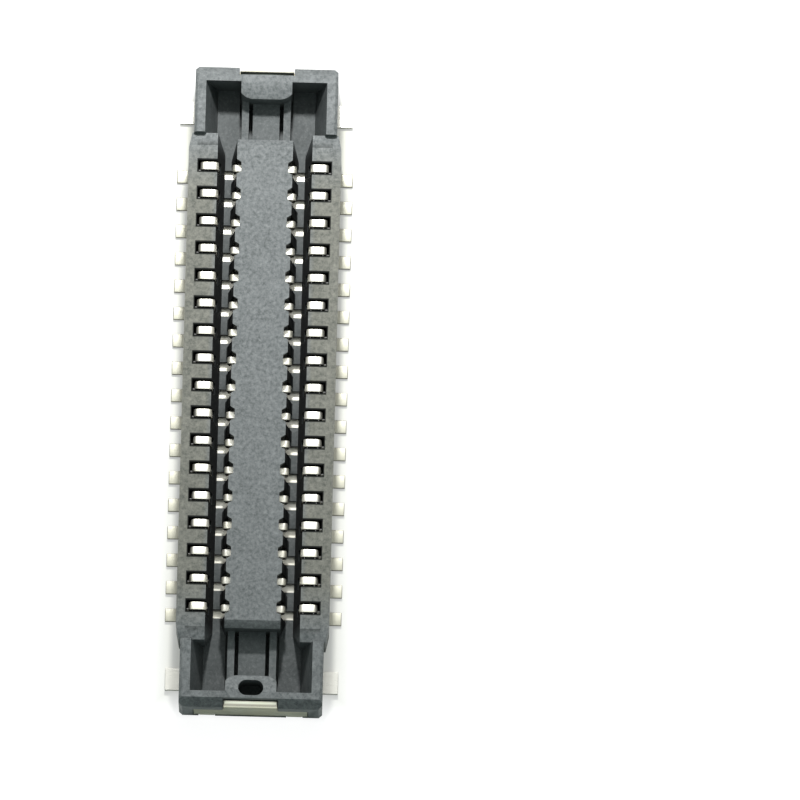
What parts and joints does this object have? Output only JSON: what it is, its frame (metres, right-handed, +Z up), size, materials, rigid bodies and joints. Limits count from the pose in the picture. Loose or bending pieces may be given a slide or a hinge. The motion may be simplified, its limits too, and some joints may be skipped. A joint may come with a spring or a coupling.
{
  "type": "board to board connector socket",
  "caption": "Low-profile two-row surface-mount board to board socket: moulded housing with a centre island, bent strip contacts and solder brackets at both ends.",
  "frame": {"origin": "on the board plane (undersides of the solder tails and brackets), under the middle of the socket", "axes": "+X across the rows, +Y along the rows, +Z up from the board towards the mating side"},
  "size_m": [0.005, 0.0186, 0.0021],
  "materials": {
    "housing_plastic": "dark grey glass-filled moulded plastic, fine matt grain",
    "contact_metal": "copper alloy strip with a pale plated finish, bright",
    "bracket_metal": "copper alloy sheet with a tin finish, satin"
  },
  "bodies": {
    "root": {"housing": "housing_plastic", "contact_left_01": "contact_metal", "contact_left_02": "contact_metal", "contact_left_03": "contact_metal", "contact_left_04": "contact_metal", "contact_left_05": "contact_metal", "contact_left_06": "contact_metal", "contact_left_07": "contact_metal", "contact_left_08": "contact_metal", "contact_left_09": "contact_metal", "contact_left_10": "contact_metal", "contact_left_11": "contact_metal", "contact_left_12": "contact_metal", "contact_left_13": "contact_metal", "contact_left_14": "contact_metal", "contact_left_15": "contact_metal", "contact_left_16": "contact_metal", "contact_left_17": "contact_metal", "contact_right_01": "contact_metal", "contact_right_02": "contact_metal", "contact_right_03": "contact_metal", "contact_right_04": "contact_metal", "contact_right_05": "contact_metal", "contact_right_06": "contact_metal", "contact_right_07": "contact_metal", "contact_right_08": "contact_metal", "contact_right_09": "contact_metal", "contact_right_10": "contact_metal", "contact_right_11": "contact_metal", "contact_right_12": "contact_metal", "contact_right_13": "contact_metal", "contact_right_14": "contact_metal", "contact_right_15": "contact_metal", "contact_right_16": "contact_metal", "contact_right_17": "contact_metal", "hold_down_front": "bracket_metal", "hold_down_rear": "bracket_metal"}
  },
  "joints": []
}
